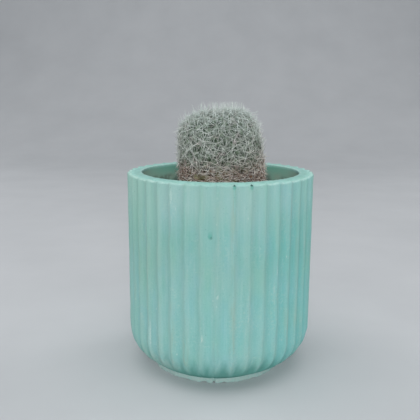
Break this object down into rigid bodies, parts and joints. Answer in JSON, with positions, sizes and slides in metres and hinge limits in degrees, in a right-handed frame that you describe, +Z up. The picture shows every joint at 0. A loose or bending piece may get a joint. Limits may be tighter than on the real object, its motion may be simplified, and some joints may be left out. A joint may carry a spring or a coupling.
{
  "type": "potted snowball cactus",
  "caption": "Short columnar cactus with spiral tubercles and white spines, standing in potting mix in a round fluted cement planter with a flat rim and a small foot.",
  "frame": {"origin": "middle of the pot's foot, on the surface that it stands on", "axes": "+Z up along the pot's axis; the view in the picture looks along +Y, with +X to the right"},
  "size_m": [0.1, 0.1, 0.1442],
  "materials": {
    "cement": "matte",
    "potting_mix": "matte",
    "plant": "matte"
  },
  "bodies": {
    "root": {"pot": "cement", "soil": "potting_mix", "cactus": "plant"}
  },
  "joints": []
}
